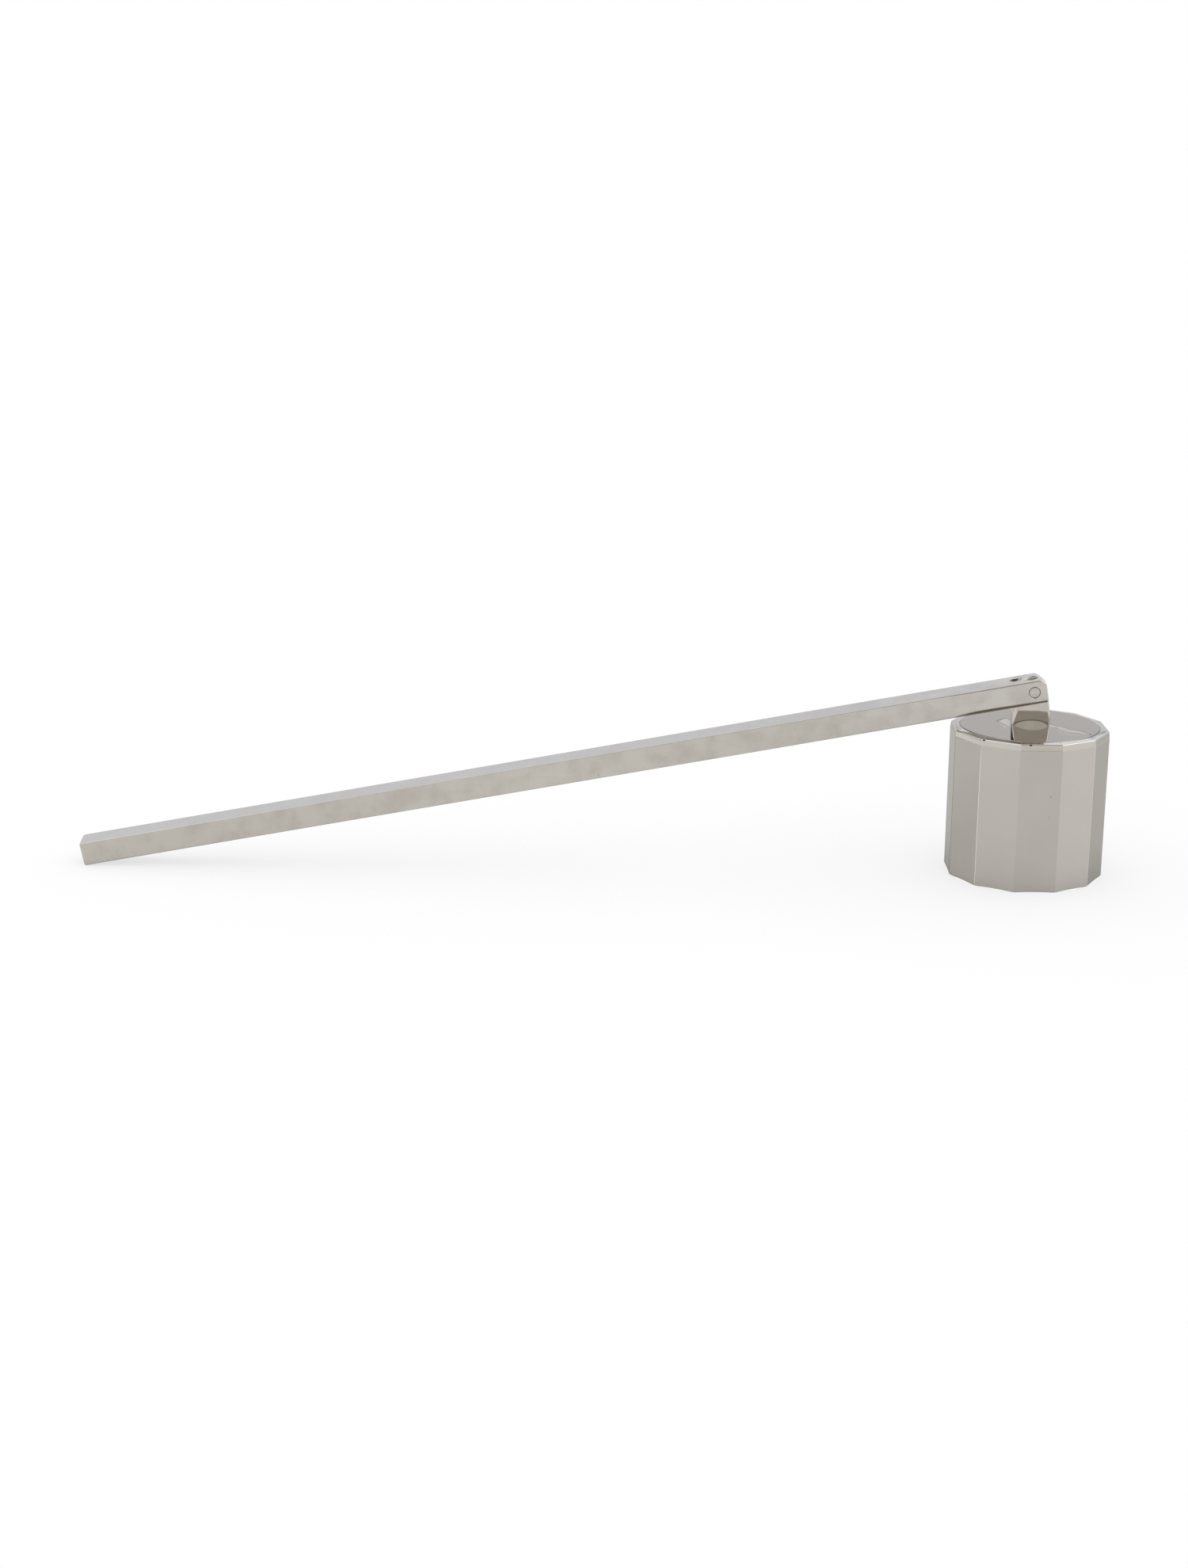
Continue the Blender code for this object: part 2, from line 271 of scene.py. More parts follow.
# Lit panels of the tent: window of turn, window of height, colour
LIT_PANELS = (
    ((-52.0, 16.0, 10.0), (36.0, 18.0, 6.0), (1.4, 1.38, 1.34, 1)),
    ((72.0, 16.0, 12.0), (40.0, 26.0, 6.0), (2.0, 1.98, 1.92, 1)),
)
SOFTBOX_PLACE = (-0.15, -0.1, 0.9)
SOFTBOX_SIZE = 0.5
SOFTBOX_POWER = 0.9
CAMERA_LENS = 50.0
CAMERA_SENSOR = 36.0
CAMERA_AZIMUTH = math.radians(1.646)
CAMERA_ELEVATION = math.radians(15.69)
CAMERA_DISTANCE = 463.55 * MM
CAMERA_TARGET = Vector((1.42, 0.0, 18.12)) * MM
CAMERA_CLIP = 0.01


def cad_middle(node):
    low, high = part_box(node)
    return (low + high) / 2


def cad_size(node):
    low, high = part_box(node)
    return high - low


PIVOT = Vector(frame["joints"][0]["pos_m"])
BELL_MIDDLE = cad_middle("bell_body")
BELL_SIZE = cad_size("bell_body")
DISC_SIZE = cad_size("top_disc")
LUG_SIZE = cad_size("hinge_lug")
BAR_SIZE = cad_size("handle_bar")
PIN_SIZE = cad_size("pivot_pin")
DISC_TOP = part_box("top_disc")[1].z
DISC_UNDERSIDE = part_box("top_disc")[0].z
DISC_RADIUS = DISC_SIZE.x / 2
BELL_APOTHEM = BELL_SIZE.x / 2


def bar_slope():
    """The angle the bar falls from the pivot to its free end, from the CAD bar's own points."""
    low_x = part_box("handle_bar")[0].x
    near_end = [v.co for v in frame["nodes"]["handle_bar"].data.vertices if v.co.x < low_x + BAR_HEIGHT * 1.5]
    end_x = sum(p.x for p in near_end) / len(near_end)
    end_z = (min(p.z for p in near_end) + max(p.z for p in near_end)) / 2
    return math.atan2(PIVOT.z - end_z, PIVOT.x - end_x)


# ---------------------------------------------------------------- mesh helpers


def add_piece(name, shape, body, node, material):
    """Makes an object of a finished bmesh, in the row frame, and lets it stand for a CAD node."""
    bmesh.ops.recalc_face_normals(shape, faces=shape.faces)
    mesh = bpy.data.meshes.new(name)
    shape.to_mesh(mesh)
    shape.free()
    mesh.shade_smooth()
    thing = bpy.data.objects.new(name, mesh)
    bpy.context.scene.collection.objects.link(thing)
    if material:
        mesh.materials.append(material)
    if body:
        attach(thing, body)
        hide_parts(node)
    return thing


def loops_to_faces(shape, loops, ring=False):
    """Quads between loops of points that all have the same count: closed at both ends, or into a ring."""
    count = len(loops[0])
    rows = [[shape.verts.new(point) for point in loop] for loop in loops]
    pairs = list(zip(rows, rows[1:]))
    if ring:
        pairs.append((rows[-1], rows[0]))
    for lower, upper in pairs:
        for index in range(count):
            after = (index + 1) % count
            shape.faces.new((lower[index], lower[after], upper[after], upper[index]))
    if not ring:
        shape.faces.new(reversed(rows[0]))
        shape.faces.new(rows[-1])


def even_shading(thing, sharp_degrees):
    """Flat faces keep their own normal next to rounded edges."""
    thing.data.set_sharp_from_angle(angle=math.radians(sharp_degrees))
    modifier = thing.modifiers.new("even_shading", "WEIGHTED_NORMAL")
    modifier.mode = "FACE_AREA"
    modifier.weight = 100
    modifier.keep_sharp = True


def cut(target, cutter):
    modifier = target.modifiers.new("cut_" + cutter.name, "BOOLEAN")
    modifier.operation = "DIFFERENCE"
    modifier.object = cutter


def apply_modifiers(thing):
    """Bakes the modifiers into the mesh, so that the piece stands alone."""
    graph = bpy.context.evaluated_depsgraph_get()
    baked = bpy.data.meshes.new_from_object(thing.evaluated_get(graph), depsgraph=graph)
    baked.name = thing.name
    thing.modifiers.clear()
    thing.data = baked


def arc(centre, radius, start, end, steps):
    """Points along an arc in a plane, both ends included."""
    points = []
    for index in range(steps + 1):
        angle = start + (end - start) * index / steps
        points.append((centre[0] + radius * math.cos(angle), centre[1] + radius * math.sin(angle)))
    return points


# ---------------------------------------------------------------- bell


def rounded_polygon(apothem, edge_radius):
    """A twelve-sided loop of (x, y) points with rounded corners and flats facing +X and +Y."""
    half = math.pi / SIDES
    to_centre = (apothem - edge_radius) / math.cos(half)
    corners = []
    for side in range(SIDES):
        turn = half + 2 * math.pi * side / SIDES
        centre = (to_centre * math.cos(turn), to_centre * math.sin(turn))
        corners.append(arc(centre, edge_radius, turn - half, turn + half, CORNER_POINTS - 1))
    points = []
    for side in range(SIDES):
        start = Vector(corners[side][-1])
        end = Vector(corners[(side + 1) % SIDES][0])
        points += [Vector(p) for p in corners[side][:-1]]
        points += [start.lerp(end, index / FACET_POINTS) for index in range(FACET_POINTS)]
    return points


def bell_rings():
    """The bell's rings: up the outside, over the crown, down the seat and the inside, back to the rim."""
    outline = rounded_polygon(BELL_APOTHEM, FACET_EDGE_RADIUS)
    angles = [math.atan2(p.y, p.x) for p in outline]

    def polygon(apothem, height):
        grow = apothem / BELL_APOTHEM
        return [(p.x * grow, p.y * grow, height) for p in outline]

    def circle(radius, height):
        return [(radius * math.cos(a), radius * math.sin(a), height) for a in angles]

    rings = []
    for across, up in arc((BELL_APOTHEM - RIM_RADIUS, RIM_RADIUS), RIM_RADIUS, -math.pi / 2, 0, ROUND_STEPS):
        rings.append(polygon(across, up))
    band_foot = SHOULDER_HEIGHT - BAND_HEIGHT
    band_lean = math.atan2(BAND_INSET, BAND_HEIGHT)
    wall_top = band_foot - BAND_GROOVE
    for index in range(1, WALL_STEPS + 1):
        share = index / WALL_STEPS
        rings.append(polygon(BELL_APOTHEM, RIM_RADIUS + (wall_top - RIM_RADIUS) * share))
    rings.append(polygon(BELL_APOTHEM - BAND_GROOVE, band_foot))
    rings.append(polygon(BELL_APOTHEM - BAND_GROOVE * math.tan(band_lean), band_foot + BAND_GROOVE))
    band_top = BELL_APOTHEM - BAND_INSET
    seat = DISC_RADIUS + SEAT_CLEARANCE
    crown = SHOULDER_HEIGHT + SHOULDER_RISE
    shoulder_lean = math.atan2(SHOULDER_RISE, band_top - seat)
    turn = math.pi / 2 - band_lean - shoulder_lean
    back = SHOULDER_EDGE_RADIUS * math.tan(turn / 2)
    lean_across = math.sin(band_lean)
    lean_up = math.cos(band_lean)
    low_tangent = Vector((band_top + back * lean_across, SHOULDER_HEIGHT - back * lean_up))
    centre = low_tangent - SHOULDER_EDGE_RADIUS * Vector((lean_up, lean_across))
    edge = arc(centre, SHOULDER_EDGE_RADIUS, band_lean, band_lean + turn, SHOULDER_STEPS)
    rings += [polygon(across, up) for across, up in edge]
    rings.append(circle(seat + SEAT_EDGE, crown))
    rings.append(circle(seat + SEAT_EDGE * 0.3, crown - SEAT_EDGE * 0.3))
    rings.append(circle(seat, crown - SEAT_EDGE))
    seat_floor = DISC_UNDERSIDE - SEAT_FLOOR_GAP
    ledge_under = DISC_UNDERSIDE - LEDGE_HEIGHT
    rings.append(circle(seat, seat_floor))
    rings.append(circle(LEDGE_RADIUS, seat_floor))
    rings.append(circle(LEDGE_RADIUS, ledge_under))
    rings.append(circle(CAVITY_RADIUS, ledge_under))
    inner_rim = arc((CAVITY_RADIUS + RIM_RADIUS, RIM_RADIUS), RIM_RADIUS, math.pi, 1.5 * math.pi, ROUND_STEPS)
    rings += [circle(across, up) for across, up in inner_rim]
    return rings


def make_bell(material, inner):
    """The twelve-sided cup in one closed mesh; its cavity has its own duller metal."""
    shape = bmesh.new()
    loops_to_faces(shape, bell_rings(), ring=True)
    bmesh.ops.translate(shape, verts=shape.verts, vec=Vector((BELL_MIDDLE.x, 0, 0)))
    bell = add_piece("faceted_bell", shape, "bell", "bell_body", material)
    bell.data.materials.append(inner)
    for face in bell.data.polygons:
        from_axis = math.hypot(face.center.x - BELL_MIDDLE.x, face.center.y)
        if from_axis < CAVITY_RADIUS + CAVITY_MARGIN and face.center.z < DISC_UNDERSIDE:
            face.material_index = 1
    even_shading(bell, SHARP_DEGREES)


# ---------------------------------------------------------------- crown disc and washer


def circle_loop(radius, height, segments):
    turns = [2 * math.pi * index / segments for index in range(segments)]
    return [(radius * math.cos(turn), radius * math.sin(turn), height) for turn in turns]


def soft_ramp(value):
    """Zero below, the value itself above, with a rounded turn between."""
    share = value / DISH_SOFTNESS
    if share > STRAIGHT_SHARE:
        return value
    return DISH_SOFTNESS * math.log1p(math.exp(share))


def smooth(value, low, high):
    """Zero below low, one above high, with a gentle S between."""
    share = min(max((value - low) / (high - low), 0.0), 1.0)
    return share * share * (3 - 2 * share)


def between(x, places, levels):
    """A curve that eases from level to level at the given places."""
    if x <= places[0]:
        return levels[0]
    for low, high, first, second in zip(places, places[1:], levels, levels[1:]):
        if x <= high:
            return first + (second - first) * smooth(x, low, high)
    return levels[-1]


def dish(x, y):
    """How far the disc stands up at a point about its centre: below zero in the valley past the lug."""
    start = between(x, VALLEY_PLACES, VALLEY_START)
    bottom = between(x, VALLEY_PLACES, VALLEY_BOTTOM)
    turn = bottom - VALLEY_REST
    end = turn - (start - bottom) * VALLEY_FALL / VALLEY_RISE
    fall = soft_ramp(start - y) - soft_ramp(bottom - y)
    rise = soft_ramp(turn - y) - soft_ramp(end - y)
    narrowing = LEVEL_NARROWING * smooth(y, LEVEL_NARROWING_FROM, LEVEL_NARROWING_TO)
    level = LEVEL_HALF_WIDTH - narrowing
    beside_lug = smooth(abs(x), level, level + LEVEL_EDGE)
    return beside_lug * (VALLEY_RISE * rise - VALLEY_FALL * fall)


def make_disc(material):
    """A polished plate with a rounded edge; its face is a fine grid so that the dish reflects smoothly."""
    shape = bmesh.new()
    loops = [circle_loop(DISC_RADIUS, DISC_UNDERSIDE, DISC_SEGMENTS)]
    flat_radius = DISC_RADIUS - DISC_EDGE
    for radius, height in arc((flat_radius, DISC_TOP - DISC_EDGE), DISC_EDGE, 0, math.pi / 2, ROUND_STEPS):
        loops.append(circle_loop(radius, height, DISC_SEGMENTS))
    for index in range(1, DISC_FACE_RINGS):
        radius = flat_radius * (1 - index / DISC_FACE_RINGS)
        ring = circle_loop(radius, DISC_TOP, DISC_SEGMENTS)
        loops.append([(x, y, z + dish(x, y)) for x, y, z in ring])
    loops_to_faces(shape, loops)
    bmesh.ops.translate(shape, verts=shape.verts, vec=Vector((BELL_MIDDLE.x, DISC_SHIFT, 0)))
    disc = add_piece("crown_disc", shape, "bell", "top_disc", material)
    even_shading(disc, SHARP_DEGREES)


def soften_cad_node(name, width, material):
    """Keeps a CAD piece's shape and gives it rounded edges and a better material."""
    node = frame["nodes"][name]
    node.data.materials.clear()
    node.data.materials.append(material)
    weld = node.modifiers.new("weld", "WELD")
    weld.merge_threshold = WELD_REACH
    bevel = node.modifiers.new("soft_edges", "BEVEL")
    bevel.width = width
    bevel.segments = SOFTENED_STEPS
    bevel.limit_method = "ANGLE"
    bevel.angle_limit = math.radians(SOFTENED_DEGREES)


# ---------------------------------------------------------------- hinge


def elliptic_box(half_x, half_y, round_left, round_right, round_y, height, steps):
    """A level loop: a rectangle whose corners are quarter ellipses."""
    loop = []
    for quarter, (sign_x, sign_y) in enumerate(((1, 1), (-1, 1), (-1, -1), (1, -1))):
        round_x = min(round_right if sign_x > 0 else round_left, half_x)
        depth = min(round_y, half_y)
        centre = (sign_x * (half_x - round_x), sign_y * (half_y - depth))
        for step in range(steps + 1):
            turn = (quarter + step / steps) * math.pi / 2
            loop.append((centre[0] + round_x * math.cos(turn), centre[1] + depth * math.sin(turn), height))
    return loop


def lug_half_width(height, head_radius, foot):
    """Half the lug's width at a height about the pivot: straight foot, tapering neck, round head."""
    shoulder = (LUG_SHOULDER_HALF_WIDTH, -LUG_SHOULDER_DROP)
    if height < shoulder[1]:
        share = (height - shoulder[1]) / (foot - shoulder[1])
        return shoulder[0] + (LUG_SIZE.x / 2 - shoulder[0]) * share
    reach = math.hypot(*shoulder)
    tangent = math.atan2(shoulder[1], shoulder[0]) + math.acos(head_radius / reach)
    touch = (head_radius * math.cos(tangent), head_radius * math.sin(tangent))
    if height < touch[1]:
        share = (height - shoulder[1]) / (touch[1] - shoulder[1])
        return shoulder[0] + (touch[0] - shoulder[0]) * share
    return math.sqrt(max(head_radius**2 - height**2, 0))


def make_lug(material):
    """The riveted tab: level loops, their corners rounded more towards the neck, as buffing leaves them."""
    foot = DISC_TOP - LUG_SINK - PIVOT.z
    head_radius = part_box("hinge_lug")[1].z - PIVOT.z
    heights = [foot + (0 - foot) * index / LUG_STEPS for index in range(LUG_STEPS)]
    heights += [head_radius * math.sin(math.pi / 2 * index / LUG_STEPS) for index in range(LUG_STEPS)]
    heights.append(head_radius * LUG_LAST_LOOP)
    loops = []
    for height in heights:
        half_width = lug_half_width(height, head_radius, foot)
        above = smooth(height, foot, foot + LUG_ROUNDING_REACH)
        left, right = (LUG_ROUNDING_AT_FOOT * (1 - above) + side * above for side in LUG_ROUNDING_ABOVE)
        round_y = LUG_CORNER_DEPTH + LUG_CORNER_DEEPENING * above
        into_top = max(height - (head_radius - LUG_TOP_ROUNDING), 0)
        thinning = LUG_TOP_ROUNDING - math.sqrt(LUG_TOP_ROUNDING**2 - into_top**2)
        half_depth = LUG_HALF_THICKNESS - thinning
        loops.append(elliptic_box(half_width, half_depth, left, right, round_y, height, LUG_CORNER_STEPS))
    shape = bmesh.new()
    loops_to_faces(shape, loops)
    bmesh.ops.translate(shape, verts=shape.verts, vec=Vector((PIVOT.x, 0, PIVOT.z)))
    lug = add_piece("hinge_tab", shape, "bell", "hinge_lug", material)
    even_shading(lug, LUG_SHARP_DEGREES)


def along_y(loop):
    """Turns a level loop so that it stands across the bar."""
    return [(x, z, y) for x, y, z in loop]


def make_pin(material, turn):
    """The riveted pin: nearly flush, faintly domed ends inside a thin groove."""
    radius = PIN_SIZE.x / 2 - PIN_GROOVE / 2
    half = PIN_SIZE.y / 2
    face = radius - PIN_EDGE
    outline = [(face * share, half - PIN_DOME * share**2) for share in PIN_RINGS]
    outline += arc((face, half - PIN_DOME - PIN_EDGE), PIN_EDGE, math.pi / 2, 0, ROUND_STEPS)
    loops = [along_y(circle_loop(across, along, PIN_SEGMENTS)) for across, along in outline]
    loops += [along_y(circle_loop(across, -along, PIN_SEGMENTS)) for across, along in reversed(outline)]
    shape = bmesh.new()
    loops_to_faces(shape, loops)
    bmesh.ops.transform(shape, matrix=turn, verts=shape.verts)
    pin = add_piece("rivet_pin", shape, "handle", "pivot_pin", material)
    even_shading(pin, PIN_SHARP_DEGREES)


# ---------------------------------------------------------------- bar


def drawn_in(distance, radius):
    """How far a side has turned in at a distance from the end plane, for an end corner of that radius."""
    if distance >= radius:
        return 0.0
    return radius - math.sqrt(radius**2 - (radius - distance) ** 2)


def end_stations(radii):
    """Distances from an end plane that follow every one of its corner arcs closely."""
    distances = {0.0}
    for radius in radii:
        for index in range(1, BAR_END_STEPS + 1):
            distances.add(round(radius * (1 - math.cos(math.pi / 2 * index / BAR_END_STEPS)), 8))
    return sorted(distances)


def bar_section(x, from_free, from_hinge):
    """One upright section of the bar: a rectangle with a different rounding on its upper and lower edges."""
    half = BAR_HEIGHT / 2
    side = BAR_SIZE.y / 2
    top = half - drawn_in(from_free, SMALL_CORNER) - drawn_in(from_hinge, HINGE_TOP_CORNER)
    bottom = -half + drawn_in(from_free, SMALL_CORNER) + drawn_in(from_hinge, SMALL_CORNER)
    front = -side + drawn_in(from_free, BAR_END_FRONT) + drawn_in(from_hinge, BAR_SIDE_END)
    back = side - drawn_in(from_free, BAR_END_BACK) - drawn_in(from_hinge, BAR_SIDE_END)
    low_edge = between(from_hinge, BAR_EDGE_PLACES, BAR_BOTTOM_EDGES)
    low_depth = low_edge * between(from_hinge, BAR_EDGE_PLACES, BAR_EDGE_DEPTHS)
    top_edge = between(from_hinge, BAR_EDGE_PLACES, BAR_TOP_EDGES)
    skew_here = BAR_END_SKEW * (1 - smooth(from_free, 0.0, BAR_SKEW_REACH))
    corners = (
        (back - top_edge, top - top_edge, top_edge, top_edge, 0.0),
        (front + top_edge, top - top_edge, top_edge, top_edge, 0.5),
        (front + low_depth, bottom + low_edge, low_depth, low_edge, 1.0),
        (back - low_depth, bottom + low_edge, low_depth, low_edge, 1.5),
    )
    loop = []
    for y, z, depth, height, start in corners:
        quarter = arc((0, 0), 1.0, start * math.pi, (start + 0.5) * math.pi, BAR_EDGE_STEPS)
        for across, up in quarter:
            place = y + depth * across
            skew = skew_here * (place + side) / (2 * side)
            loop.append((x - skew, place, z + height * up))
    return loop


def bar_free_end():
    """Where the free end lies along the bar, from the pivot: its upper edge meets the CAD box's end."""
    slope = bar_slope()
    far = PIVOT.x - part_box("handle_bar")[0].x
    return -(far - BAR_HEIGHT / 2 * math.sin(slope)) / math.cos(slope)


def loft_bar():
    """The bar along X with its pivot at the origin, closely cut where its ends are rounded."""
    free, hinge = bar_free_end(), BAR_OVERHANG
    places = [free + d for d in end_stations((SMALL_CORNER, BAR_END_FRONT, BAR_END_BACK))]
    inner_low, inner_high = places[-1], hinge - HINGE_TOP_CORNER
    places += [inner_low + (inner_high - inner_low) * i / BAR_STEPS for i in range(1, BAR_STEPS)]
    places += [hinge - d for d in reversed(end_stations((SMALL_CORNER, BAR_SIDE_END, HINGE_TOP_CORNER)))]
    shape = bmesh.new()
    loops_to_faces(shape, [bar_section(x, x - free, hinge - x) for x in places])
    return shape


def slot_shape():
    """The cutter for the fork's slot: slanted closed end with rounded sides, as a milling disc leaves it."""
    over = BAR_HEIGHT / 2 + CUT_MARGIN
    slant = (SLOT_REACH_BELOW - SLOT_REACH_ABOVE) / BAR_HEIGHT * CUT_MARGIN
    mouth = BAR_OVERHANG + CUT_MARGIN
    half = SLOT_WIDTH / 2
    loops = []
    for height, end in ((-over, -slant - SLOT_REACH_BELOW), (over, slant - SLOT_REACH_ABOVE)):
        centre = end + SLOT_END_ROUNDING
        back, front = (centre, half - SLOT_END_ROUNDING), (centre, SLOT_END_ROUNDING - half)
        rounded = arc(back, SLOT_END_ROUNDING, math.pi / 2, math.pi, SLOT_END_STEPS)
        rounded += arc(front, SLOT_END_ROUNDING, math.pi, 1.5 * math.pi, SLOT_END_STEPS)
        loops.append([(x, y, height) for x, y in [(mouth, half)] + rounded + [(mouth, -half)]])
    shape = bmesh.new()
    loops_to_faces(shape, loops)
    return shape


def pin_hole_shape():
    """The cutter for the pin's hole, with a small countersink at both mouths."""
    half = BAR_SIZE.y / 2
    radius = PIN_SIZE.x / 2 + PIN_GROOVE / 2
    outline = [
        (radius + PIN_HOLE_CHAMFER + CUT_MARGIN, half + CUT_MARGIN),
        (radius + PIN_HOLE_CHAMFER, half),
        (radius, half - PIN_HOLE_CHAMFER),
    ]
    loops = [along_y(circle_loop(across, along, PIN_SEGMENTS)) for across, along in outline]
    loops += [along_y(circle_loop(across, -along, PIN_SEGMENTS)) for across, along in reversed(outline)]
    shape = bmesh.new()
    loops_to_faces(shape, loops)
    return shape


def make_bar(material, turn):
    """The bar, lofted level, then slotted and drilled, then turned down to its free end."""
    bar = add_piece("bar_handle", loft_bar(), None, None, material)
    helpers = [
        add_piece("slot_cutter", slot_shape(), None, None, None),
        add_piece("pin_hole_cutter", pin_hole_shape(), None, None, None),
    ]
    for helper in helpers:
        cut(bar, helper)
    apply_modifiers(bar)
    for helper in helpers:
        bpy.data.objects.remove(helper, do_unlink=True)
    bar.data.transform(turn)
    bar.data.shade_smooth()
    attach(bar, "handle")
    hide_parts("handle_bar")
    even_shading(bar, SHARP_DEGREES)


# ---------------------------------------------------------------- materials


class Nodes:
    """A short way to add and join shader nodes."""

    def __init__(self, tree):
        self.tree = tree

    def add(self, kind, inputs=None, **settings):
        node = self.tree.nodes.new(kind)
        for key, value in settings.items():
            setattr(node, key, value)
        for key, value in (inputs or {}).items():
            self.feed(node, key, value)
        return node

    def feed(self, node, key, value):
        socket = node.inputs[key]
        if isinstance(value, bpy.types.NodeSocket):
            self.tree.links.new(value, socket)
        else:
            socket.default_value = value

    def place(self, stretch=(1, 1, 1)):
        coordinates = self.add("ShaderNodeTexCoord").outputs["Object"]
        return self.add("ShaderNodeMapping", {"Vector": coordinates, "Scale": stretch}).outputs["Vector"]

    def noise(self, scale, detail=3.0, stretch=(1, 1, 1), rough=0.5, warp=0.0):
        inputs = {
            "Vector": self.place(stretch),
            "Scale": scale,
            "Detail": detail,
            "Roughness": rough,
            "Distortion": warp,
        }
        return self.add("ShaderNodeTexNoise", inputs).outputs["Fac"]

    def remap(self, value, low, high, to_low=0.0, to_high=1.0, soft=False):
        inputs = {"Value": value, "From Min": low, "From Max": high, "To Min": to_low, "To Max": to_high}
        node = self.add("ShaderNodeMapRange", inputs)
        if soft:
            node.interpolation_type = "SMOOTHSTEP"
        return node.outputs["Result"]

    def math(self, operation, first, second=0.0):
        return self.add("ShaderNodeMath", {0: first, 1: second}, operation=operation).outputs[0]

    def mix(self, factor, first, second):
        """Two colours mixed: the node's sockets 6 and 7 take colours, and its output 2 gives one."""
        node = self.add("ShaderNodeMix", data_type="RGBA")
        self.feed(node, 0, factor)
        self.feed(node, 6, first)
        self.feed(node, 7, second)
        return node.outputs[2]

    def split(self, vector):
        """The X, Y and Z outputs of a vector."""
        return self.add("ShaderNodeSeparateXYZ", {0: vector}).outputs

    def window(self, value, centre, half, soft):
        """One inside centre +- half, falling softly to zero over the given distance."""
        away = self.math("ABSOLUTE", self.math("SUBTRACT", value, centre))
        return self.remap(away, half, half + soft, 1.0, 0.0, soft=True)

    def ramp(self, value, low, high, stops, tint):
        """A grey ramp through (place, level) stops, lightly tinted."""
        node = self.add("ShaderNodeValToRGB", {0: self.remap(value, low, high)})
        elements = node.color_ramp.elements
        while len(elements) > 1:
            elements.remove(elements[-1])
        for index, (place, level) in enumerate(stops):
            at = (place - low) / (high - low)
            element = elements[0] if index == 0 else elements.new(at)
            element.position = at
            element.color = (*(level * part for part in tint), 1)
        return node.outputs["Color"]

    def bump(self, height, strength, distance, normal=None):
        inputs = {"Height": height, "Strength": strength, "Distance": distance}
        if normal:
            inputs["Normal"] = normal
        return self.add("ShaderNodeBump", inputs).outputs["Normal"]


def plated_metal(name, colour, stain, roughness, haze, clouds, lines_run, line_depth, pit_share, spots=()):
    """Polished nickel: cloudy handling haze, warm stains, fine polishing lines and a few pinprick pits."""
    material = bpy.data.materials.new(name)
    material.use_nodes = True
    nodes = Nodes(material.node_tree)
    shader = material.node_tree.nodes["Principled BSDF"]
    shader.inputs["Metallic"].default_value = 1.0
    cloudy = nodes.remap(nodes.noise(clouds, 5.0, rough=0.6, warp=0.2), 0.36, 0.66)
    stains = nodes.remap(nodes.noise(clouds * 1.7, 3.0, rough=0.55, warp=0.15), 0.42, 0.72)
    upward = nodes.split(nodes.add("ShaderNodeTexCoord").outputs["Normal"])["Z"]
    stains = nodes.math("MULTIPLY", stains, nodes.remap(upward, 0.3, 0.8, 1.0, STAIN_LEFT_ON_TOP))
    lines = nodes.noise(LINE_SCALE, 3.0, stretch=lines_run)
    grain = nodes.noise(GRAIN_SCALE, 1.0)
    base = nodes.mix(stains, (*colour, 1), (*stain, 1))
    base = nodes.mix(nodes.remap(lines, 0.3, 0.7, 0.0, LINE_STAIN), base, (*stain, 1))
    cells = nodes.add("ShaderNodeTexVoronoi", {"Vector": nodes.place(), "Scale": PIT_CELLS})
    draw = nodes.add("ShaderNodeSeparateColor", {0: cells.outputs["Color"]}).outputs[0]
    chosen = nodes.math("LESS_THAN", draw, pit_share)
    pits = nodes.math("MULTIPLY", chosen, nodes.remap(cells.outputs["Distance"], 0.03, 0.09, 1.0, 0.0))
    base = nodes.mix(nodes.math("MULTIPLY", pits, PIT_STRENGTH), base, (*PIT_COLOUR, 1))
    # Painted dark reflections, as small near-black spots
    for spot in spots:
        middle = (spot[0], spot[1], spot[2] * SPOT_FLATNESS)
        place = nodes.place((1, 1, SPOT_FLATNESS))
        away = nodes.add("ShaderNodeVectorMath", {0: place, 1: middle}, operation="DISTANCE")
        mark = nodes.remap(away.outputs["Value"], SPOT_RADIUS * 0.6, SPOT_RADIUS, 1.0, 0.0)
        base = nodes.mix(mark, base, (*SPOT_COLOUR, 1))
    rough = nodes.remap(cloudy, 0.0, 1.0, roughness, roughness + haze)
    rough = nodes.math("ADD", rough, nodes.remap(lines, 0.3, 0.7, -0.25 * haze, 0.25 * haze))
    rough = nodes.math("ADD", rough, nodes.remap(grain, 0.3, 0.7, -0.1 * haze, 0.1 * haze))
    nodes.feed(shader, "Base Color", base)
    nodes.feed(shader, "Roughness", rough)
    if line_depth:
        normal = nodes.bump(lines, 1.0, line_depth)
        nodes.feed(shader, "Normal", nodes.bump(pits, 0.3, -PIT_DENT, normal))
    # Past this ray depth the metal glows with its base colour: a painted reflection
    depth = nodes.add("ShaderNodeLightPath").outputs["Ray Depth"]
    deep = nodes.math("GREATER_THAN", depth, MIRROR_DEPTH)
    painted_deep_reflection = nodes.add("ShaderNodeEmission", {"Color": base, "Strength": DEEP_REFLECTION_GLOW}).outputs[0]
    both = nodes.add("ShaderNodeMixShader", {0: deep, 1: shader.outputs[0], 2: painted_deep_reflection}).outputs[0]
    nodes.feed(material.node_tree.nodes["Material Output"], "Surface", both)
    return material


